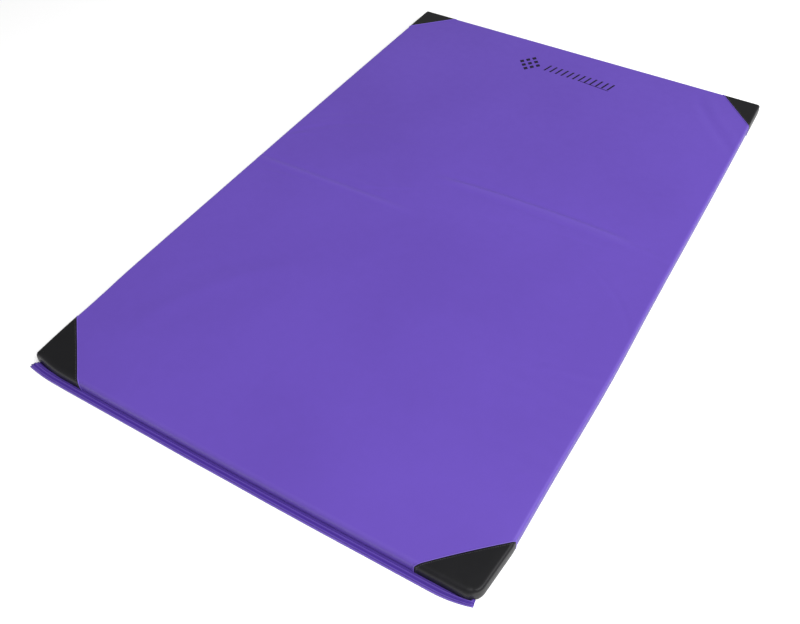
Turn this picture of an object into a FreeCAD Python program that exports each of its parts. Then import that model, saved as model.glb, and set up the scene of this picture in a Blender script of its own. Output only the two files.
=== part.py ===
import FreeCAD, Part
import os
import Sketcher

# Folding gym mat: two foam halves in one vinyl cover that folds across mid-length.
#
# Frame: origin on the fold line, halfway across, at the underside. X runs across
# the mat, Y runs along it from the closure end (-Y) to the plain end (+Y), Z is up.
# The fold axis lies along X, 2 mm above the top skin, at y = 0.

doc = FreeCAD.newDocument("folding_gym_mat")

# ---------------------------------------------------------------- dimensions
dims = {
    "mat_length": (1830, "closure end to plain end, a six-foot mat"),
    "mat_width": (1220, "side to side, a four-foot mat"),
    "mat_thick": (35, "underside to top skin"),
    "cover_gauge": (0.8, "vinyl sheet of the cover"),
    "fold_gap": (1, "space between the two halves at the fold"),
    "corner_near": (155, "leg of a corner cap at the closure end"),
    "corner_far": (123, "leg of a corner cap at the plain end"),
    "lip_width": (1217, "length of the closure strip across the mat"),
    "lip_shift": (-10, "the strip is sewn this far off centre"),
    "lower_lip_depth": (18, "lower lip, out from the end wall"),
    "upper_lip_depth": (14, "upper lip, out from the end wall"),
    "lip_clear": (0.3, "upper lip's seam to the end wall"),
    "tape_width": (10, "hook tape and loop tape"),
    "tape_inset": (2, "tapes, out from the end wall"),
    "tape_gauge": (1.2, "each tape's thickness"),
    "tape_gap": (0.2, "between the closed tapes"),
}

sheet = doc.addObject("Spreadsheet::Sheet", "Dims")
for row, (alias, (size, meaning)) in enumerate(dims.items(), start=1):
    sheet.set(f"A{row}", alias)
    sheet.set(f"B{row}", str(size))
    sheet.set(f"C{row}", meaning)
    sheet.setAlias(f"B{row}", alias)
doc.recompute()

# Places that several pieces share, as expressions on the sheet.
EDGE_X = "Dims.mat_width / 2"
EDGE_Y = "Dims.mat_length / 2"
FOLD_Y = "Dims.fold_gap / 2"
SKIN = "Dims.cover_gauge"
WALL_HEIGHT = "(Dims.mat_thick - 2 * Dims.cover_gauge)"
TOP_BOTTOM = "(Dims.mat_thick - Dims.cover_gauge)"
CORE_X = f"({EDGE_X} - {SKIN})"
CORE_Y = f"({EDGE_Y} - {SKIN})"


# ------------------------------------------------------------------- helpers
def add_pad(body, outline, height, lift="0"):
    """Pad a closed outline of (x, y) expressions, lifted from the body's floor."""
    sketch = body.newObject("Sketcher::SketchObject", "Outline")
    floor_plane = next(f for f in body.Origin.OriginFeatures if f.Role == "XY_Plane")
    sketch.AttachmentSupport = [(floor_plane, "")]
    sketch.MapMode = "FlatFace"
    sketch.setExpression("AttachmentOffset.Base.z", lift)

    corners = [
        FreeCAD.Vector(float(sheet.evalExpression(x)), float(sheet.evalExpression(y)), 0)
        for x, y in outline
    ]
    count = len(corners)
    for i in range(count):
        sketch.addGeometry(Part.LineSegment(corners[i], corners[(i + 1) % count]))
    for i in range(count):
        sketch.addConstraint(Sketcher.Constraint("Coincident", i, 2, (i + 1) % count, 1))
    for i, (x, y) in enumerate(outline):
        for kind, expression, size in (("DistanceX", x, corners[i].x), ("DistanceY", y, corners[i].y)):
            k = sketch.addConstraint(Sketcher.Constraint(kind, -1, 1, i, 1, size))
            sketch.setExpression(f"Constraints[{k}]", expression)

    pad = body.newObject("PartDesign::Pad", "Pad")
    pad.Profile = sketch
    pad.setExpression("Length", height)
    return pad


def add_piece(label, bottom, *pads):
    """One sub-part: a body at the height `bottom`, built from one or more pads."""
    body = doc.addObject("PartDesign::Body", label)
    body.Label = label
    body.setExpression("Placement.Base.z", bottom)
    for pad in pads:
        add_pad(body, *pad)
    return body


def rectangle(x0, x1, y0, y1):
    return [(x0, y0), (x1, y0), (x1, y1), (x0, y1)]


# -------------------------------------------------------------- one mat half
def add_half(name, side, corner, corner_names):
    """Foam core and cover of one half. `side` is -1 at the closure end, +1 at the plain end.

    `corner` is the leg of its two corner caps. Every outline is written for the
    +Y half and turned over by `side` for the other.
    """

    def along(y):
        return f"{side} * ({y})"

    corner_x = f"({EDGE_X} - {corner})"
    corner_y = f"({EDGE_Y} - {corner})"

    add_piece(
        f"{name}_foam_core", SKIN,
        (rectangle(f"-{CORE_X}", CORE_X, along(f"{FOLD_Y} + {SKIN}"), along(CORE_Y)), WALL_HEIGHT),
    )
    add_piece(
        f"{name}_base_sheet", "0",
        (rectangle(f"-{EDGE_X}", EDGE_X, along(FOLD_Y), along(EDGE_Y)), SKIN),
    )

    # The top sheet is cut back along a diagonal at both outer corners.
    top_outline = [
        (f"-{EDGE_X}", along(FOLD_Y)),
        (EDGE_X, along(FOLD_Y)),
        (EDGE_X, along(corner_y)),
        (corner_x, along(EDGE_Y)),
        (f"-{corner_x}", along(EDGE_Y)),
        (f"-{EDGE_X}", along(corner_y)),
    ]
    add_piece(f"{name}_top_sheet", TOP_BOTTOM, (top_outline, SKIN))

    # Walls stand on the base sheet and end on the same diagonals.
    end_wall = [
        (f"-{corner_x}", along(EDGE_Y)),
        (corner_x, along(EDGE_Y)),
        (f"{corner_x} + {SKIN}", along(CORE_Y)),
        (f"-({corner_x} + {SKIN})", along(CORE_Y)),
    ]
    add_piece(f"{name}_end_wall", SKIN, (end_wall, WALL_HEIGHT))
    add_piece(
        f"{name}_fold_wall", SKIN,
        (rectangle(f"-{CORE_X}", CORE_X, along(FOLD_Y), along(f"{FOLD_Y} + {SKIN}")), WALL_HEIGHT),
    )
    for hand, across in (("left", -1), ("right", 1)):
        side_wall = [
            (f"{across} * {EDGE_X}", along(FOLD_Y)),
            (f"{across} * {EDGE_X}", along(corner_y)),
            (f"{across} * {CORE_X}", along(f"{corner_y} + {SKIN}")),
            (f"{across} * {CORE_X}", along(FOLD_Y)),
        ]
        add_piece(f"{name}_{hand}_wall", SKIN, (side_wall, WALL_HEIGHT))

    # A corner cap is a thin angle of wall with a triangle of skin on top of it.
    for cap_name, across in zip(corner_names, (-1, 1)):
        cap_wall = [
            (f"{across} * {EDGE_X}", along(EDGE_Y)),
            (f"{across} * {corner_x}", along(EDGE_Y)),
            (f"{across} * ({corner_x} + {SKIN})", along(CORE_Y)),
            (f"{across} * {CORE_X}", along(CORE_Y)),
            (f"{across} * {CORE_X}", along(f"{corner_y} + {SKIN}")),
            (f"{across} * {EDGE_X}", along(corner_y)),
        ]
        cap_top = [
            (f"{across} * {EDGE_X}", along(EDGE_Y)),
            (f"{across} * {corner_x}", along(EDGE_Y)),
            (f"{across} * {EDGE_X}", along(corner_y)),
        ]
        add_piece(cap_name, SKIN, (cap_wall, WALL_HEIGHT), (cap_top, SKIN, WALL_HEIGHT))


add_half("front", -1, "Dims.corner_near", ("near_left_corner_cap", "near_right_corner_cap"))
add_half("rear", 1, "Dims.corner_far", ("far_left_corner_cap", "far_right_corner_cap"))


# ------------------------------------------------------------------- closure
# Two lips stand out from the foot of the closure end, with hook tape on the
# lower one and loop tape under the upper one. The upper lip peels up about its
# seam at the foot of the end wall.
LIP_LEFT = "(Dims.lip_shift - Dims.lip_width / 2)"
LIP_RIGHT = "(Dims.lip_shift + Dims.lip_width / 2)"
LOOP_BOTTOM = f"({SKIN} + Dims.tape_gauge + Dims.tape_gap)"


def lip_strip(start, depth):
    """A strip along the closure end, from `start` to `start + depth` out from the wall."""
    return rectangle(LIP_LEFT, LIP_RIGHT, f"-({EDGE_Y} + {start})", f"-({EDGE_Y} + {start} + {depth})")


add_piece("closure_lower_lip", "0", (lip_strip("0", "Dims.lower_lip_depth"), SKIN))
for tape, bottom in (("closure_hook_tape", SKIN), ("closure_loop_tape", LOOP_BOTTOM)):
    add_piece(tape, bottom, (lip_strip("Dims.tape_inset", "Dims.tape_width"), "Dims.tape_gauge"))
add_piece(
    "closure_upper_lip", f"{LOOP_BOTTOM} + Dims.tape_gauge",
    (lip_strip("Dims.lip_clear", "Dims.upper_lip_depth - Dims.lip_clear"), SKIN),
)

# --------------------------------------------------------- recompute and save
doc.recompute()
for thing in doc.Objects:
    if "Invalid" in thing.State or "Error" in thing.State:
        raise RuntimeError(f"{thing.Label} is {thing.State}")

os.makedirs("parts", exist_ok=True)
for body in doc.findObjects("PartDesign::Body"):
    shape = body.Shape
    if shape.isNull() or not shape.isValid() or len(shape.Solids) != 1:
        raise RuntimeError(f"{body.Label} has no single valid solid")
    shape.exportStep(f"parts/{body.Label}.step")
    box = shape.BoundBox
    print(f"{body.Label:24s} {box.XLength:8.1f} {box.YLength:8.1f} {box.ZLength:6.1f}  z {box.ZMin:5.1f}")
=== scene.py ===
import math
import bmesh
import bpy
import numpy as np
from mathutils import Matrix, Vector


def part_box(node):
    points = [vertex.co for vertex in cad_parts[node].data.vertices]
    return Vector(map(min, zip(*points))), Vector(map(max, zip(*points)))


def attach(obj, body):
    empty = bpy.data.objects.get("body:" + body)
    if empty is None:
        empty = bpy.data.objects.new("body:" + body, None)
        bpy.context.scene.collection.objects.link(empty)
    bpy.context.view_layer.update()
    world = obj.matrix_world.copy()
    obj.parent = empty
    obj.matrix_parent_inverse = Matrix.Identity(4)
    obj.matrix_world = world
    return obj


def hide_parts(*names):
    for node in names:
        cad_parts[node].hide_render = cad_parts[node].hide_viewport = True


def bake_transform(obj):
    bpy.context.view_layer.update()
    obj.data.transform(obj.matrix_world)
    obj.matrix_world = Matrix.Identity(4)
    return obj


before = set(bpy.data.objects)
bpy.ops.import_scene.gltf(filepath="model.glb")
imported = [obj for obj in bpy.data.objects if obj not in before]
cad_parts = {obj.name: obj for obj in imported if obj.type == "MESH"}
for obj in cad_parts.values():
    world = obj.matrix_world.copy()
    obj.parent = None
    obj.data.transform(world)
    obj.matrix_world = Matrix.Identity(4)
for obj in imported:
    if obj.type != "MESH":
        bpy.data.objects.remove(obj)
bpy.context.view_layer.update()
scene = bpy.context.scene
scene.view_settings.view_transform = "Standard"
print("frame loaded", len(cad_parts), "nodes")


# the mat as a rounded slab: sizes from the frame, soft edges chosen here. The sides and
# the closure end draw in towards their corners, and two corners draw in further
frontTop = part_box("front_top_sheet")
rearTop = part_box("rear_top_sheet")
mat = dict(
    halfWidth=frontTop[1].x,
    halfLength=rearTop[1].y,
    thick=frontTop[1].z,
    foldGap=rearTop[0].y,  # half of the space between the two pads
    cornerRadius=0.012,  # plan radius that the corners are built with
    sideRoll=0.006,  # radius of the long top edges
    nearRoll=0.0115,  # radius of the top edge at the closure end
    farRoll=0.006,  # and at the plain end
    wallPuff=0.0008,  # how far the walls swell at half height
    foot=0.0045,  # height at which the top skin ends, over the base sheet's hem
    foldHem=0.004,  # how far the skin hangs below its roll beside the fold
    # how far each corner lies inside the middle of its side, and of the closure end
    sidePull=dict(nearLeft=0.0015, nearRight=0.0030, farLeft=0.0055, farRight=0.0080),
    nearPull=0.0040,
    waves=[(-1, -0.70, 0.0030, 0.07), (1, -0.30, -0.0045, 0.22)],  # side, y, depth, size
    # corners rounded this far in, or drawn out to a point where the power is negative
    reach=dict(nearLeft=0.012, nearRight=0.030, farLeft=0.012, farRight=0.012),
    power=dict(nearLeft=-1.2, nearRight=1.0, farLeft=-1.0, farRight=-1.0),
    roundDegree=6.5,
    taper=dict(depth=0.0075, footShare=0.3, sizeX=0.15, sizeY=0.22),  # near left, in from the side
    pinch=dict(depth=0.0120, power=1.5, sizeX=0.09, sizeY=0.10),  # and in from the end
    narrow=dict(depth=0.0110, sizeX=0.15, sizeY=0.13),  # near right, in from the side
)


# t squared times (3 - 2t), with t held between 0 and 1
def smoothStep(t):
    t = np.clip(t, 0, 1)
    return t * t * (3 - 2 * t)


# relief of the top skin: each crease runs from one plan point to another, with the
# height of its ridge, its half width, how far its ends taper, and its bow sideways.
# The first two are the long ones, whose ridges also get a paler painted highlight
creases = [
    dict(a=(-0.610, -0.049), b=(-0.150, -0.041), height=0.0034, width=0.0095, taper=0.20, sag=0.001),
    dict(a=(-0.060, 0.126), b=(0.460, 0.136), height=0.0048, width=0.0105, taper=0.12, sag=0.008),
    dict(a=(0.380, 0.130), b=(0.615, 0.118), height=0.0012, width=0.0070, taper=0.12, sag=0.004),
    dict(a=(0.130, 0.115), b=(0.300, 0.111), height=-0.0008, width=0.0040, taper=0.06, sag=0.001),
    dict(a=(0.300, 0.078), b=(0.430, 0.076), height=-0.0007, width=0.0045, taper=0.05, sag=0.000),
    dict(a=(0.140, 0.036), b=(0.275, 0.034), height=-0.0004, width=0.0040, taper=0.06, sag=0.000),
    dict(a=(-0.600, 0.085), b=(-0.385, 0.255), height=-0.0009, width=0.0085, taper=0.09, sag=0.022),
    dict(a=(-0.605, 0.062), b=(-0.530, 0.120), height=0.0008, width=0.0070, taper=0.05, sag=0.010),
    dict(a=(-0.560, 0.200), b=(-0.400, 0.300), height=0.0006, width=0.0090, taper=0.07, sag=0.008),
    dict(a=(0.470, 0.860), b=(0.608, 0.700), height=0.0007, width=0.0110, taper=0.10, sag=-0.012),
    dict(a=(0.430, 0.850), b=(0.608, 0.640), height=-0.0022, width=0.0150, taper=0.10, sag=-0.010),
    dict(a=(0.310, 0.430), b=(0.560, 0.375), height=0.0006, width=0.0110, taper=0.10, sag=0.008),
    dict(a=(0.380, 0.218), b=(0.485, 0.150), height=0.0007, width=0.0070, taper=0.05, sag=-0.004),
    dict(a=(0.440, 0.000), b=(0.604, -0.170), height=-0.0007, width=0.0070, taper=0.10, sag=0.020),
    dict(a=(-0.605, -0.760), b=(-0.480, -0.775), height=-0.0010, width=0.0060, taper=0.05, sag=0.004),
    dict(a=(0.068, -0.112), b=(0.110, -0.154), height=0.0006, width=0.0030, taper=0.01, sag=0.003),
    dict(a=(-0.455, -0.720), b=(-0.250, -0.380), height=0.0013, width=0.0300, taper=0.12, sag=0.040),
]
# short random creases beside the fold: how many, and the spread of their places,
# half lengths, slopes and bows
shortCreases = dict(
    count=34, reachX=0.56, middleY=0.03, spreadY=0.14, shortest=0.03, longest=0.10, slope=-0.05,
    slopeSpread=0.22, height=0.00080, width=0.0055, widthShares=(0.8, 1.6), taper=0.05, sag=0.006, seed=4,
)
# the ditches beside each ridge: distance and half width, in half widths of the ridge,
# and depths, as shares of its height
ditches = dict(aside=1.9, width=1.1, near=0.2, far=0.35)
# ripples across the right half, faded out over fadeX and fadeY, and slow undulation
ripples = dict(height=0.00038, pitch=0.047, left=0.22, nearEnd=-0.70, farEnd=-0.18, fadeX=0.15, fadeY=0.12)
undulation = dict(height=0.00045, sizeX=0.16, sizeY=0.22, seed=7)
reliefRim = 0.03  # width of the rim over which all relief fades


# one short crease: a middle and a half run, drawn from the spreads
def shortCrease(values, chance):
    x = chance.uniform(-values["reachX"], values["reachX"])
    middle = np.array([x, chance.normal(values["middleY"], values["spreadY"])])
    length = chance.uniform(values["shortest"], values["longest"])
    run = length * np.array([1, chance.normal(values["slope"], values["slopeSpread"])])
    return dict(
        a=middle - run, b=middle + run, height=values["height"] * chance.uniform(-1, 1),
        width=values["width"] * chance.uniform(*values["widthShares"]), taper=values["taper"],
        sag=chance.uniform(-values["sag"], values["sag"]),
    )


creaseChance = np.random.default_rng(shortCreases["seed"])
creases += [shortCrease(shortCreases, creaseChance) for _ in range(shortCreases["count"])]


# smooth bumps: random heights on a lattice, joined by smoothstep in both directions
def softNoise(x, y, sizeX, sizeY, seed):
    lattice = np.random.default_rng(seed).uniform(-1, 1, (64, 64))
    u, v = x / sizeX + 32, y / sizeY + 32
    i, j = np.floor(u).astype(int) % 63, np.floor(v).astype(int) % 63
    a, b = smoothStep(u - np.floor(u)), smoothStep(v - np.floor(v))
    low = lattice[i, j] * (1 - a) + lattice[i + 1, j] * a
    high = lattice[i, j + 1] * (1 - a) + lattice[i + 1, j + 1] * a
    return low * (1 - b) + high * b


# height = ridge of a Gaussian section between two shallow ditches, along a line
# bowed by a parabola, tapered at both ends
def creaseHeight(x, y, a, b, height, width, taper, sag):
    run = np.subtract(b, a)
    length = np.hypot(*run)
    along = ((x - a[0]) * run[0] + (y - a[1]) * run[1]) / length
    aside = ((y - a[1]) * run[0] - (x - a[0]) * run[1]) / length
    t = np.clip(along / length, 0, 1)
    aside = aside - sag * 4 * t * (1 - t)
    ends = smoothStep(along / taper + 0.5) * smoothStep((length - along) / taper + 0.5)
    ridge = np.exp(-((aside / width) ** 2))
    shift, spread = ditches["aside"] * width, ditches["width"] * width
    nearDitch = np.exp(-(((aside + shift) / spread) ** 2))
    farDitch = np.exp(-(((aside - shift) / spread) ** 2))
    return height * ends * (ridge - ditches["near"] * nearDitch - ditches["far"] * farDitch)


# height of the top skin over its flat plane: the creases, fine ripples across the
# mat on its right half, and slow undulation, all fading towards the rolled edges
def skinRelief(x, y):
    z = sum(creaseHeight(x, y, **crease) for crease in creases)
    inside = smoothStep((x - ripples["left"]) / ripples["fadeX"])
    inside = inside * smoothStep((y - ripples["nearEnd"]) / ripples["fadeY"])
    inside = inside * smoothStep((ripples["farEnd"] - y) / ripples["fadeY"])
    swing = np.sin(2 * np.pi * y / ripples["pitch"] + 1.5 * softNoise(x, y, 0.2, 0.3, seed=5))
    uneven = 0.6 + 0.7 * softNoise(x, y, 0.13, 0.045, seed=3)
    z = z + ripples["height"] * inside * swing * uneven
    z = z + undulation["height"] * softNoise(
        x, y, undulation["sizeX"], undulation["sizeY"], undulation["seed"]
    )
    edge = np.minimum(mat["halfWidth"] - np.abs(x), mat["halfLength"] - np.abs(y))
    return z * smoothStep(edge / reliefRim + 0.25)


# one value for each point, by its quarter of the mat
def byCorner(x, y, values):
    near = np.where(x < 0, values["nearLeft"], values["nearRight"])
    return np.where(y < 0, near, np.where(x < 0, values["farLeft"], values["farRight"]))


# the product of two ramps, each from 0 at its size inside an edge to 1 at that edge,
# for the near left corner; given -x, it is the near right one's
def cornerRamp(x, y, sizeX, sizeY):
    rampX = np.clip((-x - mat["halfWidth"]) / sizeX + 1, 0, 1)
    return rampX * np.clip((-y - mat["halfLength"]) / sizeY + 1, 0, 1)


# everything is made on a straight slab and then settled. In a corner's square, of
# side reach, the distance from the square's inner corner is scaled by
# (norm of degree roundDegree / norm of degree 2) ** power, which turns squares into
# arcs. The sides and the closure end draw in by a parabola towards their corners, and
# each wave adds a Gaussian dent. Ramps pull two corners in more, the taper most at its
# top. The top takes the relief
def settle(points):
    x, y, z = points[..., 0], points[..., 1], points[..., 2]
    reach = byCorner(x, y, mat["reach"])
    legX = np.maximum(np.abs(x) - (mat["halfWidth"] - reach), 0) / reach
    legY = np.maximum(np.abs(y) - (mat["halfLength"] - reach), 0) / reach
    degree = mat["roundDegree"]
    distance, square = np.hypot(legX, legY), (legX**degree + legY**degree) ** (1 / degree)
    ratio = np.where(distance > 0, square / np.maximum(distance, 1e-12), 1)
    scale = reach * (ratio ** byCorner(x, y, mat["power"]) - 1)
    u, v = x / mat["halfWidth"], y / mat["halfLength"]
    pullX = byCorner(x, y, mat["sidePull"]) * u * np.abs(u) * v**2
    for side, middle, depth, size in mat["waves"]:
        dent = np.exp(-(((y - middle) / size) ** 2))
        pullX = pullX + side * depth * np.clip(side * u, 0, 1) ** 3 * dent
    pullY = np.where(y < 0, mat["nearPull"], 0) * v * np.abs(v) * u**2
    taper, pinch, narrow, share = mat["taper"], mat["pinch"], mat["narrow"], z / mat["thick"]
    aside = taper["depth"] * cornerRamp(x, y, taper["sizeX"], taper["sizeY"])
    aside = aside * (taper["footShare"] + (1 - taper["footShare"]) * share)
    ahead = pinch["depth"] * cornerRamp(x, y, pinch["sizeX"], pinch["sizeY"]) ** pinch["power"]
    back = narrow["depth"] * cornerRamp(-x, y, narrow["sizeX"], narrow["sizeY"])
    px = x + np.sign(x) * legX * scale - pullX + aside - back
    py = y + np.sign(y) * legY * scale - pullY + ahead
    return np.stack([px, py, z + skinRelief(x, y) * smoothStep(share)], -1)


# the four point numbers of each face of a grid; wrap closes each row onto itself
def gridQuads(rows, cols, wrap):
    index = np.arange(rows * cols).reshape(rows, cols)
    if wrap:
        index = np.concatenate([index, index[:, :1]], 1)
    return np.stack([index[:-1, :-1], index[:-1, 1:], index[1:, 1:], index[1:, :-1]], -1).reshape(-1, 4)


# one object from grids, each a pair (points of shape rows x cols x 3, wrap), welded
# where they meet; masks are one value for every point, in the same order
def newPiece(name, grids, material, sharp=35, masks=None):
    verts, quads, start = [], [], 0
    for points, wrap in grids:
        rows, cols = points.shape[:2]
        verts.append(points.reshape(-1, 3))
        quads.append(gridQuads(rows, cols, wrap) + start)
        start += rows * cols
    verts, quads = np.concatenate(verts), np.concatenate(quads)
    mesh = bpy.data.meshes.new(name)
    mesh.from_pydata(verts.tolist(), [], quads.tolist())
    for maskName, values in (masks or {}).items():
        layer = mesh.attributes.new(maskName, "FLOAT", "POINT")
        layer.data.foreach_set("value", values.reshape(-1).astype(np.float32))
    bm = bmesh.new()
    bm.from_mesh(mesh)
    bmesh.ops.remove_doubles(bm, verts=bm.verts, dist=2e-6)
    bmesh.ops.dissolve_degenerate(bm, edges=bm.edges, dist=1e-7)
    bmesh.ops.recalc_face_normals(bm, faces=bm.faces)
    bm.to_mesh(mesh)
    bm.free()
    mesh.shade_smooth()
    mesh.set_sharp_from_angle(angle=math.radians(sharp))
    mesh.materials.append(material)
    piece = bpy.data.objects.new(name, mesh)
    scene.collection.objects.link(piece)
    return piece


# gives a sheet its gauge, on the side away from its normals
def thicken(piece, gauge):
    solid = piece.modifiers.new("gauge", "SOLIDIFY")
    solid.thickness = gauge
    solid.offset = -1
    solid.use_even_offset = False
    return piece


# places along a line whose spacing follows step(place), from lowest to highest
def spacedPlaces(low, high, step):
    fine = np.linspace(low, high, 20001)
    count = np.concatenate([[0], np.cumsum(np.diff(fine) / step(fine[1:]))])
    return np.interp(np.linspace(0, count[-1], int(round(count[-1])) + 1), count, fine)


# section over an edge of the slab, outwards from the corner centre. m runs 0 to 1
# over the flat rim, 1 to 2 round a quarter circle, 2 to 3 straight down the wall.
# Gives the distance out from the plan edge, with the walls swollen by half a sine, and
# the height
def overEdge(m, roll, offset, bottom):
    flat, turn, down = np.clip(m, 0, 1), np.clip(m - 1, 0, 1) * np.pi / 2, np.clip(m - 2, 0, 1)
    out = -mat["cornerRadius"] + (mat["cornerRadius"] - roll) * flat + (roll + offset) * np.sin(turn)
    out = out + mat["wallPuff"] * np.sin(np.pi * down)
    shoulder = mat["thick"] - roll
    height = shoulder + (roll + offset) * np.cos(turn) - (shoulder - bottom) * down
    return out, height


# edge radius for a plan normal: the side's and the end's, weighted by the squares of
# the normal's parts; side is negative at the closure end
def rollRadius(nx, ny, side):
    return mat["sideRoll"] * nx**2 + np.where(side < 0, mat["nearRoll"], mat["farRoll"]) * ny**2


# place and outward normal on the plan edge of the +X +Y quarter, at the distance s
# along it: straight up the long side for legY, round the corner's arc, then back
# along the short side
def edgeAt(s, legY):
    radius = mat["cornerRadius"]
    arc = radius * np.pi / 2
    rise, bend, run = np.minimum(s, legY), np.clip(s - legY, 0, arc), np.maximum(s - legY - arc, 0)
    nx, ny = np.cos(bend / radius), np.sin(bend / radius)
    x = mat["halfWidth"] - radius + radius * nx - run
    y = mat["halfLength"] - radius + radius * ny - (legY - rise)
    return x, y, nx, ny


# plan edge of one half, from the fold round the outer end and back to the fold, as
# a quarter and its mirror image, with three close places beside the fold; side is
# -1 for the front half
def halfEdge(side, spacing):
    radius = mat["cornerRadius"]
    arc, legX = radius * np.pi / 2, mat["halfWidth"] - radius
    legY = mat["halfLength"] - radius - mat["foldGap"]
    up = np.concatenate([[0, 0.0006, 0.0020], np.arange(spacing, legY - spacing / 2, spacing)])
    turn = legY + np.linspace(0, arc, 9)
    back = legY + arc + np.linspace(0, legX, int(legX / spacing) + 1)[1:]
    x, y, nx, ny = edgeAt(np.concatenate([up, turn, back]), legY)
    x, nx = np.concatenate([x, -x[-2::-1]]), np.concatenate([nx, -nx[-2::-1]])
    y, ny = np.concatenate([y, y[-2::-1]]), np.concatenate([ny, ny[-2::-1]])
    return x, side * y, nx, side * ny


# an empty shader node group with the given sockets, which several materials share
def newGroup(name, inputs, outputs):
    group = bpy.data.node_groups.new(name, "ShaderNodeTree")
    for label, kind, value in inputs:
        socket = group.interface.new_socket(label, in_out="INPUT", socket_type="NodeSocket" + kind)
        socket.default_value = value
    for label, kind in outputs:
        group.interface.new_socket(label, in_out="OUTPUT", socket_type="NodeSocket" + kind)
    nodes, links = group.nodes, group.links
    return group, nodes, links, nodes.new("NodeGroupInput"), nodes.new("NodeGroupOutput")


# one sum or product of two numbers or sockets
def mathNode(nodes, links, operation, a, b, clamp=False):
    node = nodes.new("ShaderNodeMath")
    node.operation = operation
    node.use_clamp = clamp
    for socket, value in zip(node.inputs, (a, b)):
        if isinstance(value, (int, float)):
            socket.default_value = value
        else:
            links.new(value, socket)
    return node.outputs[0]


# one colour between two others, by a factor
def mixNode(nodes, links, factor, a, b):
    node = nodes.new("ShaderNodeMix")
    node.data_type = "RGBA"
    links.new(factor, node.inputs["Factor"])
    links.new(a, node.inputs["A"])
    links.new(b, node.inputs["B"])
    return node.outputs["Result"]


vinylValues = dict(
    cellSmoothness=0.6, fineShare=0.35, fineDetail=3, cellHeight=0.7, fineHeight=0.6,
    slowScale=2.3, slowDetail=4, driftLow=0.35, driftHigh=0.65,
    scuffScale=34, scuffDetail=6, scuffRoughness=0.65, mottle=1.2, patchiness=0.5,
    unevenGloss=0.16, rubbedGloss=0.08,
)


# coated cloth: pebbled grain from cells and noise, slow colour drift, faint scuffs,
# a paler painted highlight with smoother skin where the highlight mask is high, and a
# darker painted shade where the shade mask is high
def makeVinylGroup(values):
    group, nodes, links, given, result = newGroup(
        "vinylSkin",
        [
            ("Colour", "Color", (0.15, 0.08, 0.5, 1)),
            ("Drift", "Color", (0.13, 0.07, 0.45, 1)),
            ("Painted Highlight", "Color", (0.2, 0.13, 0.55, 1)),
            ("Painted Shade", "Color", (0.05, 0.03, 0.2, 1)),
            ("Grain Scale", "Float", 900.0),
            ("Roughness", "Float", 0.45),
        ],
        [("Colour", "Color"), ("Roughness", "Float"), ("Height", "Float")],
    )
    place = nodes.new("ShaderNodeTexCoord").outputs["Object"]
    cells = nodes.new("ShaderNodeTexVoronoi")
    cells.feature = "SMOOTH_F1"
    cells.inputs["Smoothness"].default_value = values["cellSmoothness"]
    fine = nodes.new("ShaderNodeTexNoise")
    fine.inputs["Detail"].default_value = values["fineDetail"]
    slow = nodes.new("ShaderNodeTexNoise")
    slow.inputs["Scale"].default_value = values["slowScale"]
    slow.inputs["Detail"].default_value = values["slowDetail"]
    scuff = nodes.new("ShaderNodeTexNoise")
    scuff.inputs["Scale"].default_value = values["scuffScale"]
    scuff.inputs["Detail"].default_value = values["scuffDetail"]
    scuff.inputs["Roughness"].default_value = values["scuffRoughness"]
    for texture in (cells, fine, slow, scuff):
        links.new(place, texture.inputs["Vector"])

    def times(a, b, clamp=False):
        return mathNode(nodes, links, "MULTIPLY", a, b, clamp)

    grainScale = given.outputs["Grain Scale"]
    links.new(grainScale, cells.inputs["Scale"])
    links.new(times(grainScale, values["fineShare"]), fine.inputs["Scale"])
    grain = times(cells.outputs["Distance"], values["cellHeight"])
    fineGrain = times(fine.outputs["Fac"], values["fineHeight"])
    links.new(mathNode(nodes, links, "ADD", grain, fineGrain), result.inputs["Height"])
    drift = nodes.new("ShaderNodeMapRange")
    drift.inputs["From Min"].default_value = values["driftLow"]
    drift.inputs["From Max"].default_value = values["driftHigh"]
    links.new(slow.outputs["Fac"], drift.inputs["Value"])
    mottle = mathNode(nodes, links, "SUBTRACT", scuff.outputs["Fac"], 0.5)
    shade = mathNode(nodes, links, "ADD", drift.outputs[0], times(mottle, values["mottle"]))
    tone = mixNode(nodes, links, shade, given.outputs["Colour"], given.outputs["Drift"])
    # the highlight mask: its paler colour is a painted highlight, and it also smooths the skin
    rubAndHighlightAttribute = nodes.new("ShaderNodeAttribute")
    rubAndHighlightAttribute.attribute_name = "rubAndHighlight"
    rubAndHighlight = times(rubAndHighlightAttribute.outputs["Fac"], scuff.outputs["Fac"], clamp=True)
    highlighted = mixNode(nodes, links, rubAndHighlight, tone, given.outputs["Painted Highlight"])
    # the shade mask: a darker colour laid on as painted shade, made patchy by the scuff noise
    low = nodes.new("ShaderNodeAttribute")
    low.attribute_name = "paintedShade"
    patches = times(scuff.outputs["Fac"], values["patchiness"])
    patchy = mathNode(nodes, links, "ADD", patches, 1 - values["patchiness"] / 2)
    paintedShade = times(low.outputs["Fac"], patchy, clamp=True)
    links.new(mixNode(nodes, links, paintedShade, highlighted, given.outputs["Painted Shade"]), result.inputs["Colour"])
    rough = mathNode(nodes, links, "ADD", given.outputs["Roughness"], times(mottle, values["unevenGloss"]))
    smoother = times(rubAndHighlight, values["rubbedGloss"])
    links.new(
        mathNode(nodes, links, "SUBTRACT", rough, smoother, clamp=True), result.inputs["Roughness"]
    )
    return group


pileValues = dict(fluffScale=260, fluffDetail=4, roughness=0.7, unevenRoughness=0.2)


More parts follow.
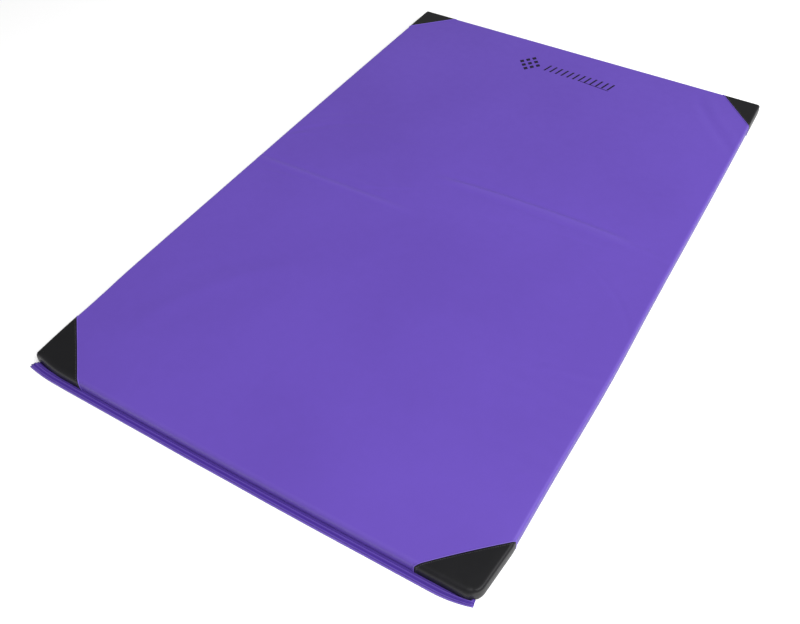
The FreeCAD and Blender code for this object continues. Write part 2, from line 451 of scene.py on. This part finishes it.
# brushed or hooked tape: cells for the standing tips, which noise makes uneven
def makePileGroup(values):
    group, nodes, links, given, result = newGroup(
        "tapePile",
        [
            ("Colour", "Color", (0.02, 0.02, 0.02, 1)),
            ("Tips", "Color", (0.06, 0.06, 0.065, 1)),
            ("Pile Scale", "Float", 700.0),
        ],
        [("Colour", "Color"), ("Roughness", "Float"), ("Height", "Float")],
    )
    place = nodes.new("ShaderNodeTexCoord").outputs["Object"]
    pile = nodes.new("ShaderNodeTexVoronoi")
    links.new(place, pile.inputs["Vector"])
    links.new(given.outputs["Pile Scale"], pile.inputs["Scale"])
    fluff = nodes.new("ShaderNodeTexNoise")
    fluff.inputs["Scale"].default_value = values["fluffScale"]
    fluff.inputs["Detail"].default_value = values["fluffDetail"]
    links.new(place, fluff.inputs["Vector"])
    tips = mathNode(nodes, links, "SUBTRACT", 1.0, pile.outputs["Distance"], clamp=True)
    links.new(mathNode(nodes, links, "MULTIPLY", tips, fluff.outputs["Fac"]), result.inputs["Height"])
    tone = mixNode(nodes, links, tips, given.outputs["Colour"], given.outputs["Tips"])
    links.new(tone, result.inputs["Colour"])
    uneven = mathNode(nodes, links, "MULTIPLY", fluff.outputs["Fac"], values["unevenRoughness"])
    links.new(mathNode(nodes, links, "ADD", uneven, values["roughness"]), result.inputs["Roughness"])
    return group


# a material from a group: its colour, roughness and height with the given inputs, and
# the constants of the shader itself
def groupMaterial(name, group, effect, bump, depth, shader=None):
    material = bpy.data.materials.new(name)
    material.use_nodes = True
    nodes, links = material.node_tree.nodes, material.node_tree.links
    principled = nodes["Principled BSDF"]
    skin = nodes.new("ShaderNodeGroup")
    skin.node_tree = group
    for label, value in effect.items():
        skin.inputs[label].default_value = value
    dent = nodes.new("ShaderNodeBump")
    dent.inputs["Strength"].default_value = bump
    dent.inputs["Distance"].default_value = depth
    links.new(skin.outputs["Height"], dent.inputs["Height"])
    links.new(skin.outputs["Colour"], principled.inputs["Base Color"])
    links.new(skin.outputs["Roughness"], principled.inputs["Roughness"])
    links.new(dent.outputs["Normal"], principled.inputs["Normal"])
    for label, value in (shader or {}).items():
        principled.inputs[label].default_value = value
    return material


vinylSkin = makeVinylGroup(vinylValues)
tapePile = makePileGroup(pileValues)
finishes = dict(
    # each finish has a paler copy of its colour for painted highlight and a darker copy for painted shade
    purpleVinyl=dict(
        effect={"Colour": (0.1030, 0.0535, 0.362, 1), "Drift": (0.0960, 0.0490, 0.338, 1),
                "Painted Highlight": (0.155, 0.102, 0.42, 1), "Painted Shade": (0.044, 0.0165, 0.215, 1),
                "Grain Scale": 900, "Roughness": 0.46},
        bump=0.25, depth=0.00012, shader={"Specular IOR Level": 0.26},
    ),
    wallVinyl=dict(
        effect={"Colour": (0.100, 0.052, 0.340, 1), "Drift": (0.092, 0.048, 0.315, 1),
                "Painted Highlight": (0.14, 0.08, 0.42, 1), "Painted Shade": (0.080, 0.031, 0.340, 1),
                "Grain Scale": 900, "Roughness": 0.48},
        bump=0.3, depth=0.00012, shader={"Specular IOR Level": 0.30},
    ),
    # a paler copy of the purple vinyl: a painted highlight along the cap seams
    weltHighlightVinyl=dict(
        effect={"Colour": (0.135, 0.078, 0.430, 1), "Drift": (0.125, 0.070, 0.400, 1),
                "Painted Highlight": (0.17, 0.10, 0.48, 1), "Painted Shade": (0.07, 0.035, 0.25, 1),
                "Grain Scale": 1300, "Roughness": 0.45},
        bump=0.3, depth=0.0001, shader={"Specular IOR Level": 0.35},
    ),
    baseVinyl=dict(
        effect={"Colour": (0.060, 0.028, 0.235, 1), "Drift": (0.048, 0.024, 0.195, 1),
                "Painted Highlight": (0.12, 0.08, 0.36, 1), "Painted Shade": (0.04, 0.02, 0.15, 1),
                "Grain Scale": 420, "Roughness": 0.58},
        bump=0.6, depth=0.0003, shader={"Specular IOR Level": 0.30},
    ),
    blackVinyl=dict(
        effect={"Colour": (0.0046, 0.0046, 0.0054, 1), "Drift": (0.0058, 0.0058, 0.0068, 1),
                "Painted Highlight": (0.014, 0.0135, 0.016, 1), "Painted Shade": (0.0035, 0.0035, 0.004, 1),
                "Grain Scale": 650, "Roughness": 0.42},
        bump=0.4, depth=0.00018, shader={"Specular IOR Level": 0.17},
    ),
    inkBlack=dict(
        effect={"Colour": (0.010, 0.006, 0.018, 1), "Drift": (0.013, 0.008, 0.024, 1),
                "Painted Highlight": (0.03, 0.025, 0.05, 1), "Painted Shade": (0.01, 0.01, 0.01, 1),
                "Grain Scale": 900, "Roughness": 0.5},
        bump=0.25, depth=0.0001, shader={"Specular IOR Level": 0.12},
    ),
)
pileFinishes = dict(
    hookPile=dict(
        effect={"Colour": (0.012, 0.012, 0.013, 1), "Tips": (0.05, 0.05, 0.055, 1), "Pile Scale": 620},
        bump=0.9, depth=0.0006,
    ),
    loopPile=dict(
        effect={"Colour": (0.010, 0.010, 0.011, 1), "Tips": (0.035, 0.035, 0.04, 1), "Pile Scale": 1400},
        bump=0.7, depth=0.0004, shader={"Sheen Weight": 0.4, "Sheen Roughness": 0.5},
    ),
    blackThread=dict(
        effect={"Colour": (0.010, 0.010, 0.011, 1), "Tips": (0.04, 0.04, 0.045, 1), "Pile Scale": 2600},
        bump=0.6, depth=0.0002, shader={"Sheen Weight": 0.3},
    ),
)
materials = {name: groupMaterial(name, vinylSkin, **finish) for name, finish in finishes.items()}
materials.update({name: groupMaterial(name, tapePile, **finish) for name, finish in pileFinishes.items()})
print("materials made", len(materials))


topSkinValues = dict(
    gauge=0.0007, stepX=0.0078, stepY=0.0085, creaseStep=0.0037, foldStep=0.0010,
    creaseMiddle=0.035, creaseReach=0.130,  # the creased band beside the fold, in Y
    bend=0.004,  # half width of the strip that bends at the fold
    hemStart=0.015, hemRun=0.05,  # where the walls lengthen, away from the fold
    # strengths of the painted highlight (with smoother skin) on the roll and the long creases, and of the
    # painted shade down the walls
    edgeHighlightAndRub=0.4, creaseHighlightAndRub=0.3, wallPaintedShade=0.3,
    sideSpare=0.007, endSpare=0.004,  # cloth that the rolls take, over the flat size
)


# one sheet over both pads: a grid of straight lines in X and Y, whose outer lines
# roll over the edges and hang down the walls; at a corner the larger of the two
# rolls wins, turned by their ratio, so that the lines go round the corner as
# concentric arcs. Beside the fold the walls are cut back to a short hem. A paler painted
# highlight, with smoother skin, lies half way round the roll and on the long creases,
# and painted shade darkens the skin down the walls
def makeTopSkin(values):
    def stepY(y):
        step = np.full_like(y, values["stepY"])
        step[np.abs(y - values["creaseMiddle"]) < values["creaseReach"]] = values["creaseStep"]
        step[np.abs(y) < 1.5 * values["bend"]] = values["foldStep"]
        return step

    flatX, flatY = mat["halfWidth"] - mat["cornerRadius"], mat["halfLength"] - mat["cornerRadius"]
    xs = spacedPlaces(-flatX, flatX, lambda x: np.full_like(x, values["stepX"]))
    ys = spacedPlaces(-flatY, flatY, stepY)
    over = np.array([0.5, 1, 1.2, 1.4, 1.6, 1.8, 2, 2.33, 2.67, 3])
    baseX = np.concatenate([np.full(over.size, -flatX), xs, np.full(over.size, flatX)])
    overX = np.concatenate([over[::-1], 0 * xs, over])
    baseY = np.concatenate([np.full(over.size, -flatY), ys, np.full(over.size, flatY)])
    overY = np.concatenate([over[::-1], 0 * ys, over])

    mx, my = np.meshgrid(overX, overY)
    m = np.maximum(mx, my)
    safe = np.maximum(m, 1e-9)
    angle = np.where(mx >= my, my / safe * np.pi / 4, np.pi / 2 - mx / safe * np.pi / 4)
    nx, ny = np.cos(angle), np.sin(angle)
    side = np.sign(baseY)[:, None]
    roll = rollRadius(nx, ny, side)
    short = mat["thick"] - roll - mat["foldHem"]
    away = smoothStep((np.abs(baseY[:, None]) - values["hemStart"]) / values["hemRun"])
    out, height = overEdge(m, roll, 0.0, short + (mat["foot"] - short) * away)
    reach = (out + mat["cornerRadius"]) * (m > 0)
    px = baseX[None, :] + np.sign(baseX)[None, :] * reach * nx
    py = baseY[:, None] + side * reach * ny
    points = settle(np.stack([px, py, height], -1))
    # painted highlight on the roll and the long crease ridges, painted shade down the walls
    ridges = sum(creaseHeight(px, py, **crease) / crease["height"] for crease in creases[:2])
    rubAndHighlight = values["edgeHighlightAndRub"] * np.exp(-(((m - 1.5) / 0.45) ** 2))
    rubAndHighlight = rubAndHighlight + values["creaseHighlightAndRub"] * np.clip(ridges, 0, 1)
    paintedShade = values["wallPaintedShade"] * smoothStep((m - 1.0) / 1.5)
    piece = newPiece("topSkin", [(points, False)], materials["purpleVinyl"], masks=dict(rubAndHighlight=rubAndHighlight, paintedShade=paintedShade))
    return thicken(piece, values["gauge"])


topSkin = makeTopSkin(topSkinValues)
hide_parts("front_top_sheet", "rear_top_sheet")
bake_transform(topSkin)
print("top skin made", len(topSkin.data.polygons), "faces")


padValues = dict(
    spacing=0.010, footRoll=0.0025, foldRound=0.0018, base=0.0008, ring=0.025,
    inset=-0.0009,  # the walls, inside the plan edge
    low=0.0018,  # how far the top lies under the skin beside the fold
    lower=0.0022,  # and how much more beyond
    lowStart=0.010, lowRun=0.050,
    rim=0.0004,  # and how far the ring stands above the middle line
)


# half a pad, foam in its walls: for every place on the half's edge, a section from
# the middle line out over the roll, down the wall, round the foot and back under.
# Towards the fold the section shrinks by a quarter circle, and a flat wall closes
# it. The top lies a little low inside its rim, clear of the skin's creases
def makePad(name, side, values):
    x, y, nx, ny = halfEdge(side, values["spacing"])
    away = np.abs(y) - mat["foldGap"]
    near = np.clip(1 - away / values["foldRound"], 0, 1)
    tuck = values["foldRound"] * (1 - np.sqrt(1 - near**2))
    roll = rollRadius(nx, ny, side)
    offset = values["inset"] - tuck
    low = values["low"] + values["lower"] * smoothStep((away - values["lowStart"]) / values["lowRun"])
    insideX = mat["halfWidth"] - values["ring"]
    insideY = mat["halfLength"] - values["ring"]
    ringX = np.clip(x, -insideX, insideX)
    ringY = side * np.clip(np.abs(y), 0, insideY)
    top = mat["thick"] - low - tuck
    rows = [(0 * x, ringY, top), (ringX, ringY, top + values["rim"])]
    for m in (1.0, 1.25, 1.5, 1.75, 2.0):
        out, height = overEdge(m, roll, offset, 0)
        rows.append((x + nx * out, y + ny * out, height))
    shoulder, foot = mat["thick"] - roll, values["footRoll"]
    for t in np.linspace(0, 1, 8)[1:]:
        out = offset + mat["wallPuff"] * np.sin(np.pi * t) * (tuck == 0)
        rows.append((x + nx * out, y + ny * out, shoulder + (foot - shoulder) * t))
    for t in np.linspace(0, np.pi / 2, 5)[1:]:
        out = -foot + (foot + offset) * np.cos(t)
        rows.append((x + nx * out, y + ny * out, foot - (foot - tuck - values["base"]) * np.sin(t)))
    rows.append((ringX, ringY, values["base"] + tuck))
    rows.append((0 * x, ringY, values["base"] + tuck))
    points = np.array([np.stack(row, -1) for row in rows])
    middle = points[:, 0] * [0, 1, 1]
    middle[:, 2] = np.clip(middle[:, 2], points[-1, 0, 2], points[0, 0, 2])
    wall = np.stack([points[:, 0], middle, points[:, -1]], 1)
    return newPiece(name, [(settle(points), False), (settle(wall), False)], materials["wallVinyl"])


for side, body in ((-1, "front"), (1, "rear")):
    pad = makePad(body + "Pad", side, padValues)
    walls = ("foam_core", "end_wall", "fold_wall", "left_wall", "right_wall")
    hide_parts(*(body + "_" + node for node in walls))
    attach(pad, body)
print("pads made")


baseValues = dict(spacing=0.012, turnUp=0.0022, rise=0.0032, offset=-0.0004, gauge=0.0005, ring=0.03)


# the underside of one half: flat from the middle line to the edge, then turned up
# round the foot of the walls by a quarter circle to make a low hem
def makeBase(name, side, values):
    x, y, nx, ny = halfEdge(side, values["spacing"])
    up, insideX = values["turnUp"], mat["halfWidth"] - values["ring"]
    edgeX, edgeY = x - nx * up, y - ny * up
    edgeY[[0, -1]] = side * mat["foldGap"]
    ringX = np.clip(edgeX, -insideX, insideX)
    ringY = side * np.clip(np.abs(y), mat["foldGap"], mat["halfLength"] - values["ring"])
    rows = [(ringX * share, ringY, 0 * x) for share in (0, 0.5, 1)] + [(edgeX, edgeY, 0 * x)]
    for t in np.linspace(0, np.pi / 2, 5)[1:]:
        out = values["offset"] - up + up * np.sin(t)
        rows.append((x + nx * out, y + ny * out, up - up * np.cos(t) + 0 * x))
    rows.append((x + nx * values["offset"], y + ny * values["offset"], values["rise"] + 0 * x))
    points = np.array([np.stack(row, -1) for row in rows]) + [0, 0, values["gauge"]]
    piece = newPiece(name, [(settle(points), False)], materials["baseVinyl"])
    return thicken(piece, values["gauge"])


for side, body in ((-1, "front"), (1, "rear")):
    base = makeBase(body + "Base", side, baseValues)
    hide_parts(body + "_base_sheet")
    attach(base, body)
print("bases made")


capValues = dict(
    offset=0.0008, gauge=0.0006, bottom=0.0012, spacing=0.0045, flatRows=12,
    legs=dict(  # each cap's legs across the mat and along it
        capNearLeft=(0.161, 0.148),
        capNearRight=(0.151, 0.143),
        capFarLeft=(0.124, 0.122),
        capFarRight=(0.121, 0.126),
    ),
)
weltValues = dict(radius=0.0013, sink=0.0002, sides=10)
stitchValues = dict(inset=0.0050, pitch=0.0046, length=0.0034, radius=0.00042, sides=6)


# the rows of a cap, for the +X +Y quarter. Each row runs along the edge at one
# distance in from it, from one end of the diagonal to the other: the ends move
# towards the corner by that distance times the ratio of the legs, so the diagonal
# stays straight over the rolled edge. Flat rows blend from the diagonal to the rim
def capRows(legX, legY, side, offset, values):
    straightX, straightY = legX - mat["cornerRadius"], legY - mat["cornerRadius"]
    length = straightX + straightY + mat["cornerRadius"] * np.pi / 2
    u = np.linspace(0, 1, int(length / values["spacing"]))
    rollLong, rollShort = mat["sideRoll"], mat["nearRoll"] if side < 0 else mat["farRoll"]
    rims = np.concatenate([np.linspace(1, 2, 8), np.linspace(2, 3, 9)[1:]])
    rows = []
    for m in rims:
        back = 1 - np.sin(np.clip(m - 1, 0, 1) * np.pi / 2)
        first, last = rollLong * back * legY / legX, rollShort * back * legX / legY
        x, y, nx, ny = edgeAt(first + (length - first - last) * u, straightY)
        out, z = overEdge(m, rollRadius(nx, ny, side), offset, values["bottom"])
        rows.append(np.stack([x + nx * out, y + ny * out, z], -1))
    rim = rows[0]
    diagonal = rim[:1] + (rim[-1:] - rim[:1]) * u[:, None]
    flatRows = values["flatRows"]
    flat = [diagonal + (rim - diagonal) * t for t in np.linspace(0, 1, flatRows + 1)[:-1]]
    return np.array(flat + rows), np.concatenate([np.zeros(flatRows), rims])


# the seam of a cap: up its first column, along the diagonal and down its last
# column, with the direction that points out of the skin
def capSeam(rows, m, flatRows):
    turn = np.clip(m[flatRows:] - 1, 0, 1) * np.pi / 2
    ahead = np.stack([np.sin(turn), 0 * turn, np.cos(turn)], -1)
    aside = np.stack([0 * turn, np.sin(turn), np.cos(turn)], -1)
    middle = rows[0, 1:-1]
    path = np.concatenate([rows[flatRows:, 0][::-1], middle, rows[flatRows:, -1]])
    up = np.tile([[0, 0, 1.0]], (len(middle), 1))
    return path, np.concatenate([ahead[::-1], up, aside])


# circles across a path that lies on the skin, closed at both ends
def makeWelt(name, path, normals, values):
    ahead = np.gradient(path, axis=0)
    ahead /= np.linalg.norm(ahead, axis=1, keepdims=True)
    across = np.cross(ahead, normals)
    across /= np.linalg.norm(across, axis=1, keepdims=True)
    a = np.linspace(0, 2 * np.pi, values["sides"], endpoint=False)
    ring = np.cos(a)[:, None] * normals[:, None] + np.sin(a)[:, None] * across[:, None]
    tube = path[:, None] + values["radius"] * ring
    ends = [path[k][None, None].repeat(values["sides"], 1) for k in (0, -1)]
    points = np.concatenate([ends[0], tube, ends[1]])
    return newPiece(name, [(settle(points), True)], materials["weltHighlightVinyl"], sharp=80)


# a row of stitches: at each place a short spindle along the path, whose radius
# follows the square root of the distance from its ends
def makeStitches(name, path, normals, values):
    run = np.concatenate([[0], np.cumsum(np.linalg.norm(np.diff(path, axis=0), axis=1))])
    places = np.arange(values["pitch"], run[-1] - values["pitch"], values["pitch"])
    t = np.array([-1, -0.7, 0, 0.7, 1.0]) / 2
    a = np.linspace(0, 2 * np.pi, values["sides"], endpoint=False)
    s = places[:, None] + values["length"] * t
    centre = np.stack([np.interp(s, run, path[:, k]) for k in range(3)], -1)
    up = np.stack([np.interp(s, run, normals[:, k]) for k in range(3)], -1)
    ahead = centre[:, -1:] - centre[:, :1]
    across = np.cross(ahead / np.linalg.norm(ahead, axis=-1, keepdims=True), up)
    radius = values["radius"] * np.sqrt(1 - np.abs(2 * t) ** 2)[None, :, None, None]
    ring = np.cos(a)[:, None] * up[:, :, None] + np.sin(a)[:, None] * across[:, :, None]
    grids = [(settle(one), True) for one in centre[:, :, None] + radius * ring]
    return newPiece(name, grids, materials["blackThread"], sharp=80)


for name, (legX, legY) in capValues["legs"].items():
    sx, side = (-1 if "Left" in name else 1), (-1 if "Near" in name else 1)
    body, turned = ("front" if side < 0 else "rear"), [sx, side, 1]
    rows, m = capRows(legX, legY, side, capValues["offset"], capValues)
    # painted highlight half way round the cap's roll, painted shade towards the foot of its wall
    rubAndHighlight = np.exp(-(((m - 1.5) / 0.4) ** 2))[:, None] * np.ones(rows.shape[1])
    paintedShade = smoothStep((m - 2) / 1)[:, None] * np.ones(rows.shape[1])
    cap = newPiece(
        name, [(settle(rows * turned), False)], materials["blackVinyl"], masks=dict(rubAndHighlight=rubAndHighlight, paintedShade=paintedShade)
    )
    thicken(cap, capValues["gauge"])
    rows, m = capRows(legX, legY, side, weltValues["sink"], capValues)
    path, up = capSeam(rows, m, capValues["flatRows"])
    welt = makeWelt(name + "Welt", path * turned, up * turned, weltValues)
    inset = stitchValues["inset"] * math.sqrt(2)
    rows, m = capRows(legX - inset, legY - inset, side, capValues["offset"], capValues)
    path, up = capSeam(rows, m, capValues["flatRows"])
    stitches = makeStitches(name + "Stitches", path * turned, up * turned, stitchValues)
    for piece, slot in ((cap, "cap_vinyl"), (welt, "cover_vinyl"), (stitches, "cap_vinyl")):
        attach(piece, body)
    end, hand = ("near" if side < 0 else "far"), ("left" if sx < 0 else "right")
    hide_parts(f"{end}_{hand}_corner_cap")
print("corner caps made")


lipValues = dict(
    step=0.008,
    gauge=0.0008,
    left=0.0062,  # trimmed off the CAD strip's ends
    right=0.0055,
    rise=0.0070,  # how far each end curves back along the rounded corner
    riseLength=0.085,
    draw=0.30,  # by how much the depth shrinks at the right end
    slantLeft=0.010,  # how far the ends are cut back at the root
    slantRight=0.003,
    bendStart=0.0002,  # the seam that the upper lip bends at, out from the wall
    bendEnd=0.0015,
    waver=0.0002,  # unevenness of the height
    depthWaver=0.02,  # and of the depth, as a share
    # sections and masks, by distance out from the wall
    lower=[(-0.0040, 0.0009), (0.0040, 0.0009), (0.0118, 0.0009), (0.0144, 0.0014),
           (0.0159, 0.0024), (0.0171, 0.0028), (0.0183, 0.0025), (0.0190, 0.0013)],
    upper=[(0.0003, 0.0060), (0.0006, 0.0050), (0.0018, 0.0045), (0.0036, 0.0046), (0.0049, 0.0060),
           (0.0060, 0.0067), (0.0071, 0.0064), (0.0083, 0.0050), (0.0094, 0.0044), (0.0117, 0.0043),
           (0.0130, 0.0049), (0.0142, 0.0049), (0.0150, 0.0038)],
    # masks: painted shade in the crevice at the root and in the valley, then a painted highlight with
    # smoother skin on the ridge top and the outer band
    paintedShade=[(-0.0040, 0.5), (0.0036, 0.5), (0.0050, 0.1), (0.0071, 0.1), (0.0085, 1.0), (0.0120, 1.0),
          (0.0132, 0.1), (0.0150, 0.1), (0.0160, 0.0), (0.0190, 0.0)],
    rubAndHighlight=[(0.0048, 0.0), (0.0060, 0.6), (0.0072, 0.0), (0.0128, 0.0), (0.0138, 1.0), (0.0190, 1.0)],
)


# a lip: a section of (distance out from the wall, height) carried across the mat.
# Its root follows the wall, which draws in by a parabola towards the corners, and
# curves back by a square at each end
def makeLip(name, box, section, values, seed):
    left, right = box[0].x + values["left"], box[1].x - values["right"]
    x = np.linspace(left, right, int((right - left) / values["step"]))
    end = np.clip(1 - np.minimum(x - left, right - x) / values["riseLength"], 0, 1)
    depth = 1 - values["draw"] * end**2 * (x > 0)
    depth = depth + values["depthWaver"] * softNoise(x, 0 * x, 0.12, 1.0, seed)
    out, z = np.array(section).T[:, :, None]
    root = -mat["halfLength"] + mat["nearPull"] * (x / mat["halfWidth"]) ** 2 + values["rise"] * end**2
    wave = values["waver"] * softNoise(x[None, :] + 0 * out, out + 0 * x, 0.05, 1.0, seed + 1)
    inward = np.where(x < 0, values["slantLeft"], -values["slantRight"]) * end**4
    across = x + inward * (1 - np.maximum(out, 0) / section[-1][0])
    points = np.stack([across, root - out * depth, z + wave * (out > 0.001)], -1)
    masks = {key: np.interp(out + 0 * x, *np.array(values[key]).T) for key in ("paintedShade", "rubAndHighlight")}
    piece = newPiece(name, [(points, False)], materials["purpleVinyl"], masks=masks)
    return thicken(piece, values["gauge"])


lowerLip = makeLip("lowerLip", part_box("closure_lower_lip"), lipValues["lower"], lipValues, seed=21)
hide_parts("closure_lower_lip")
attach(lowerLip, "front")
upperLip = makeLip("upperLip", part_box("closure_upper_lip"), lipValues["upper"], lipValues, seed=23)
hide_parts("closure_upper_lip")
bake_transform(upperLip)


tapeValues = dict(trim=0.088, spots=160, sides=24, powerY=0.35, powerZ=0.5)


# a flat tape: a superellipse section, which is a rectangle with soft corners,
# carried across the mat along the same parabola as the lips, and closed at its ends
def makeTape(name, box, material, values):
    low, high = box
    x = np.linspace(low.x + values["trim"], high.x - values["trim"], values["spots"])
    a = np.linspace(0, 2 * np.pi, values["sides"], endpoint=False)
    ringY = (high.y - low.y) / 2 * np.sign(np.cos(a)) * np.abs(np.cos(a)) ** values["powerY"]
    ringZ = (high.z - low.z) / 2 * np.sign(np.sin(a)) * np.abs(np.sin(a)) ** values["powerZ"]
    middleY = (low.y + high.y) / 2 + mat["nearPull"] * (x / mat["halfWidth"]) ** 2
    z = (low.z + high.z) / 2 + ringZ + 0 * x[:, None]
    points = np.stack([x[:, None] + 0 * ringY, middleY[:, None] + ringY, z], -1)
    ends = [np.repeat(points[k].mean(0)[None, None], a.size, 1) for k in (0, -1)]
    points = np.concatenate([ends[0], points, ends[1]])
    return newPiece(name, [(points, True)], materials[material], sharp=60)


for name, material, body in (("hook", "hookPile", "front"), ("loop", "loopPile", "closure_flap")):
    tape = makeTape(name + "Tape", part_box(f"closure_{name}_tape"), material, tapeValues)
    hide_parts(f"closure_{name}_tape")
    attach(tape, body)
print("closure made")


markValues = dict(
    lift=0.00030,  # over the skin
    gauge=0.0002,
    spots=7,  # places along each side of a patch
    diamonds=dict(centre=(-0.1286, 0.7824), stepX=0.0145, stepY=0.0165, halfX=0.0085, halfY=0.0098),
    bars=dict(first=-0.0725, pitch=0.0205, count=12, width=0.0058, height=0.036, slant=0.010),
    line=dict(y=0.7852, slope=-0.028),  # the bars' middle line
    rule=dict(x0=0.060, x1=0.161, y0=0.7640, y1=0.7550, height=0.0022),
)


# a plain print: patches between four corners, bilinear in both directions, laid on
# the relief a hair above the skin
def makeMark(values):
    spots = np.linspace(0, 1, values["spots"])
    u, v = np.meshgrid(spots, spots)
    patches = []

    def patch(corners):
        a, b, c, d = (np.array(corner)[:, None, None] for corner in corners)
        x, y = a * (1 - u) * (1 - v) + b * u * (1 - v) + c * u * v + d * (1 - u) * v
        patches.append((settle(np.stack([x, y, 0 * x + mat["thick"] + values["lift"]], -1)), False))

    diamonds, bars, line, rule = (values[k] for k in ("diamonds", "bars", "line", "rule"))
    for stepX, stepY in ((0, 2), (-1, 1), (1, 1), (-2, 0), (0, 0), (2, 0), (-1, -1), (1, -1), (0, -2)):
        x = diamonds["centre"][0] + stepX * diamonds["stepX"]
        y = diamonds["centre"][1] + stepY * diamonds["stepY"]
        halfX, halfY = diamonds["halfX"], diamonds["halfY"]
        patch([(x - halfX, y), (x, y - halfY), (x + halfX, y), (x, y + halfY)])
    for k in range(bars["count"]):
        x, half = bars["first"] + bars["pitch"] * k, bars["height"] / 2
        y = line["y"] + line["slope"] * (x - bars["first"])
        low, high = (x, y - half), (x + bars["slant"], y + half)
        patch([low, (low[0] + bars["width"], low[1]), (high[0] + bars["width"], high[1]), high])
    x0, x1, y0, y1, tall = (rule[k] for k in ("x0", "x1", "y0", "y1", "height"))
    patch([(x0, y0), (x1, y1), (x1, y1 + tall), (x0, y0 + tall)])
    return thicken(newPiece("printMark", patches, materials["inkBlack"]), values["gauge"])


printMark = makeMark(markValues)
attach(printMark, "rear")
print("print made")


stageValues = dict(
    floorSize=14.0, floorDrop=0.0004, floorColour=0.96, floorRoughness=0.9, floorGloss=0.1, world=0.43
)
lamps = dict(  # place, aim, size of the square and power
    overheadSoftbox=((3.9, -0.9, 5.0), (1.4, -0.4, 0), 6.5, 640.0),
    keySoftbox=((2.8, 0.7, 2.4), (0.2, 0.3, 0), 2.0, 6.0),
)
cameraValues = dict(
    target=(0.1775, -0.2882, 0.0), distance=2.1279, azimuth=30.808, elevation=48.242, roll=-1.180,
    lens=38.288, shiftX=-0.06123, shiftY=0.00303,
)


# one large square, a hair below the mat; floorSize is half its side
def makeFloor(values):
    size, low = values["floorSize"], -values["floorDrop"]
    mesh = bpy.data.meshes.new("floor")
    corners = [(-size, -size, low), (size, -size, low), (size, size, low), (-size, size, low)]
    mesh.from_pydata(corners, [], [(0, 1, 2, 3)])
    material = bpy.data.materials.new("paleFloor")
    material.use_nodes = True
    principled = material.node_tree.nodes["Principled BSDF"]
    principled.inputs["Base Color"].default_value = (*[values["floorColour"]] * 3, 1)
    principled.inputs["Roughness"].default_value = values["floorRoughness"]
    principled.inputs["Specular IOR Level"].default_value = values["floorGloss"]
    mesh.materials.append(material)
    floor = bpy.data.objects.new("floor", mesh)
    scene.collection.objects.link(floor)


# even white light from all around
def makeWorld(strength):
    world = bpy.data.worlds.new("studio")
    world.use_nodes = True
    background = world.node_tree.nodes["Background"]
    background.inputs["Color"].default_value = (1, 1, 1, 1)
    background.inputs["Strength"].default_value = strength
    scene.world = world


# a square lamp that faces its aim
def makeLight(name, place, aim, size, energy):
    data = bpy.data.lights.new(name, "AREA")
    data.size = size
    data.energy = energy
    lamp = bpy.data.objects.new(name, data)
    lamp.location = place
    lamp.rotation_euler = (Vector(aim) - Vector(place)).to_track_quat("-Z", "Y").to_euler()
    scene.collection.objects.link(lamp)


# the camera looks along -back at the target, from the given distance, and is turned
# about its own axis by roll
def makeCamera(values):
    azimuth, elevation, roll = (math.radians(values[k]) for k in ("azimuth", "elevation", "roll"))
    back = Vector((
        math.sin(azimuth) * math.cos(elevation),
        -math.cos(azimuth) * math.cos(elevation),
        math.sin(elevation),
    ))
    right = Vector((0, 0, 1)).cross(back).normalized()
    up = back.cross(right)
    turned = Matrix((
        right * math.cos(roll) + up * math.sin(roll),
        up * math.cos(roll) - right * math.sin(roll),
        back,
    )).transposed().to_4x4()
    data = bpy.data.cameras.new("camera")
    data.sensor_fit = "HORIZONTAL"
    data.sensor_width = 36
    data.lens = values["lens"]
    data.shift_x, data.shift_y = values["shiftX"], values["shiftY"]
    camera = bpy.data.objects.new("camera", data)
    camera.matrix_world = Matrix.Translation(Vector(values["target"]) + back * values["distance"]) @ turned
    scene.collection.objects.link(camera)
    scene.camera = camera


makeFloor(stageValues)
makeWorld(stageValues["world"])
for name, (place, aim, size, energy) in lamps.items():
    makeLight(name, place, aim, size, energy)
makeCamera(cameraValues)
print("stage made")
